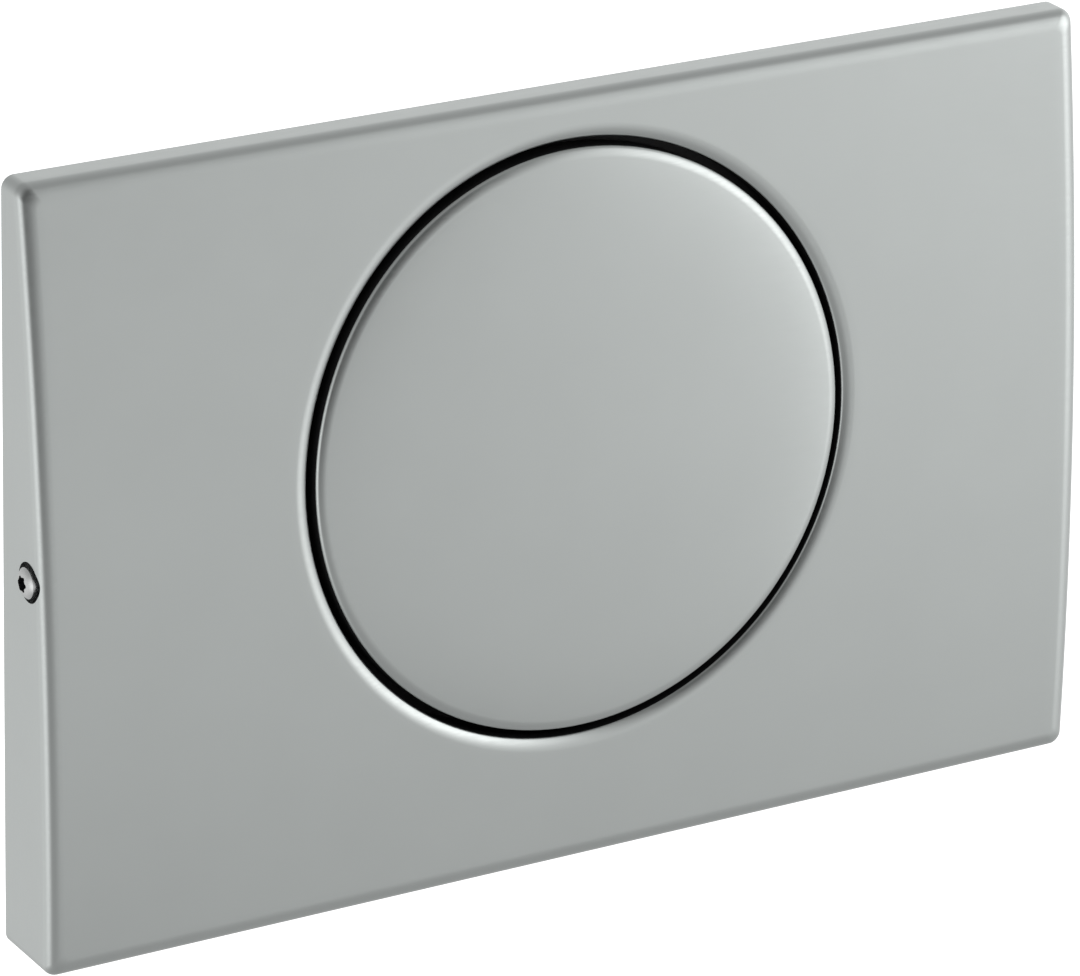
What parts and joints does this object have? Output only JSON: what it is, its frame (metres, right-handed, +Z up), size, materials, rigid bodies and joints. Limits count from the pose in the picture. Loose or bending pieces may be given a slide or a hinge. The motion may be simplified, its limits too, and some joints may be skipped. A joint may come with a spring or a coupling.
{
  "type": "cistern flush plate",
  "caption": "Wall-mounted flush plate for a concealed cistern: bowed satin steel cover locked by a side screw, with one large round rocking button over a moulded frame and push rods.",
  "frame": {"origin": "midway between the two fixing bolts, on the plane of the finished wall", "axes": "+X to the right as seen from the front, +Y back into the wall along the bolts, +Z up"},
  "size_m": [0.2476, 0.0787, 0.164],
  "materials": {
    "satin_steel": "satin",
    "zinc_steel": "bright zinc",
    "spring_steel": "bright wire",
    "brass": "turned",
    "black_plastic": "matt moulded",
    "grey_plastic": "matt moulded",
    "rubber": "matt"
  },
  "bodies": {
    "plate": {"cover_plate": "satin_steel", "mounting_frame": "black_plastic", "distance_bolt_left": "zinc_steel", "distance_bolt_right": "zinc_steel", "bolt_washer_left": "zinc_steel", "bolt_washer_right": "zinc_steel", "bolt_nut_left": "zinc_steel", "bolt_nut_right": "zinc_steel", "side_insert_left": "brass", "side_screw_left": "satin_steel", "return_spring_left": "spring_steel", "return_spring_right": "spring_steel", "stop_buffer_left": "rubber", "stop_buffer_right": "rubber"},
    "button": {"push_button": "satin_steel", "button_carrier": "black_plastic", "hinge_pin_left": "zinc_steel", "hinge_pin_right": "zinc_steel"},
    "rod_left": {"push_rod_left": "grey_plastic", "rod_tip_left": "rubber"},
    "rod_right": {"push_rod_right": "grey_plastic", "rod_tip_right": "rubber"}
  },
  "joints": [
    {"name": "button_press", "type": "hinge", "parent": "plate", "child": "button", "pos_m": [0, -0.00229, 0.05282], "axis": [1, 0, 0], "range_deg": [0, 4], "stiffness_Nm_per_rad": 8, "springref_deg": -4.01, "deforming": ["return_spring_left", "return_spring_right"]},
    {"name": "rod_left_slide", "type": "slide", "parent": "plate", "child": "rod_left", "axis": [0, 1, 0], "range_m": [0, 0.0055]},
    {"name": "rod_right_slide", "type": "slide", "parent": "plate", "child": "rod_right", "axis": [0, 1, 0], "range_m": [0, 0.0055]}
  ],
  "couplings": [
    {"joint": "rod_left_slide", "follows": "button_press", "m_per_rad": 0.0755},
    {"joint": "rod_right_slide", "follows": "button_press", "m_per_rad": 0.0755}
  ]
}
